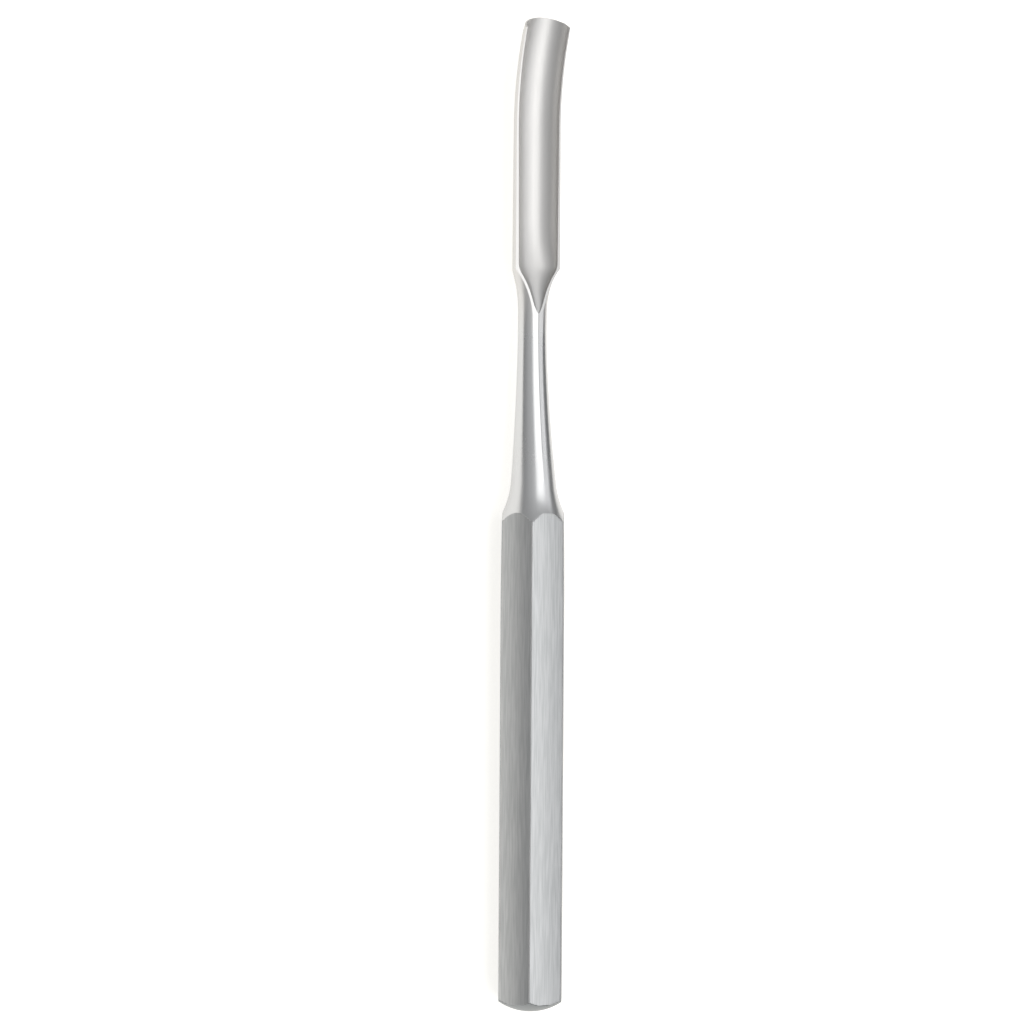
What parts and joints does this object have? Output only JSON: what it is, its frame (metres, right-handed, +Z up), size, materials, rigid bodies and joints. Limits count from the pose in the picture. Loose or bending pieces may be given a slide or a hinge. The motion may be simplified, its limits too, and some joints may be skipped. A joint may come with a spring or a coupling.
{
  "type": "bone gouge",
  "caption": "Steel bone gouge with a hexagonal handle, a round neck and a curved, channelled blade that ends in a sharpened edge.",
  "frame": {"origin": "on the surface that the gouge lies on, under the middle of its overall box", "axes": "+Y runs along the gouge from the butt to the cutting edge, +Z points up out of the blade's hollow, +X is across the blade"},
  "size_m": [0.0176, 0.2414, 0.0153],
  "materials": {
    "steel": "satin-brushed handle, polished neck, satin channel"
  },
  "bodies": {
    "root": {"bone_gouge": "steel"}
  },
  "joints": []
}
